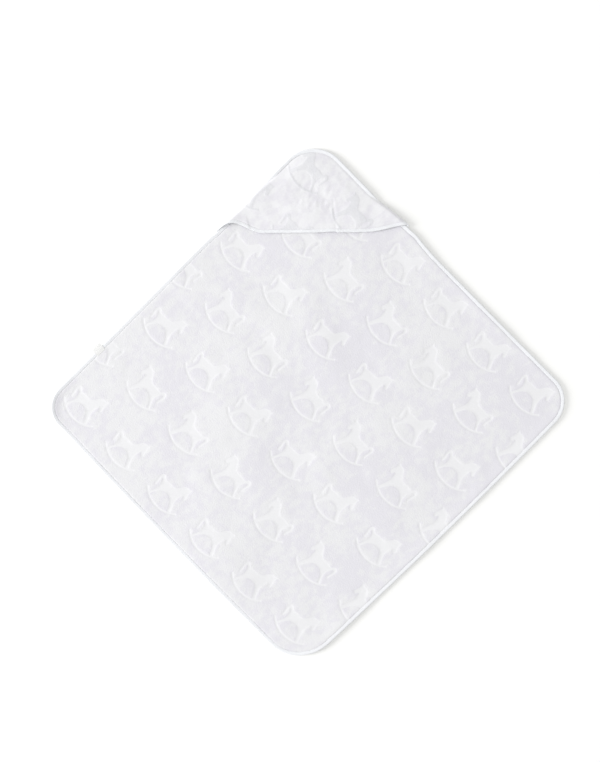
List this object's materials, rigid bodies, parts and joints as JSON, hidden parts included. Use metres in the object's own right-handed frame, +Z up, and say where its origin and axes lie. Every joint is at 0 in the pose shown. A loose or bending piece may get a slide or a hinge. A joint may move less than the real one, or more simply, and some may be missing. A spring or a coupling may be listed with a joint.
{
  "type": "hooded baby towel",
  "caption": "Square terry towel with rounded corners, bound edges and a triangular hood sewn over one corner, laid flat.",
  "frame": {"origin": "on the floor, under the middle of the towel laid flat on its back", "axes": "+X to the right across the hood's free edge, +Y from the middle towards the hooded corner, +Z up out of the face that the hood lies on"},
  "size_m": [1.0092, 1.0092, 0.0216],
  "materials": {
    "terry_face": "matte",
    "terry_reverse": "matte",
    "binding_tape": "matte",
    "thread": "satin",
    "label_ribbon": "satin"
  },
  "bodies": {
    "towel": {"towel_panel": "terry_face", "hood_seam_allowance": "terry_reverse", "edge_binding": "binding_tape", "edge_needle_thread": "thread", "edge_bobbin_thread": "thread"},
    "hood": {"hood_panel": "terry_reverse", "hood_binding": "binding_tape", "hood_needle_thread": "thread", "hood_bobbin_thread": "thread"},
    "label": {"care_label": "label_ribbon"}
  },
  "joints": [
    {"name": "hood_open", "type": "hinge", "parent": "towel", "child": "hood", "pos_m": [0, 0.4952, 0.0046], "axis": [-1, 0, 0], "range_deg": [0, 22]},
    {"name": "label_flip", "type": "hinge", "parent": "towel", "child": "label", "pos_m": [-0.41055, 0.10508, 0.0043], "axis": [0.7071, 0.7071, 0], "range_deg": [0, 165]}
  ]
}
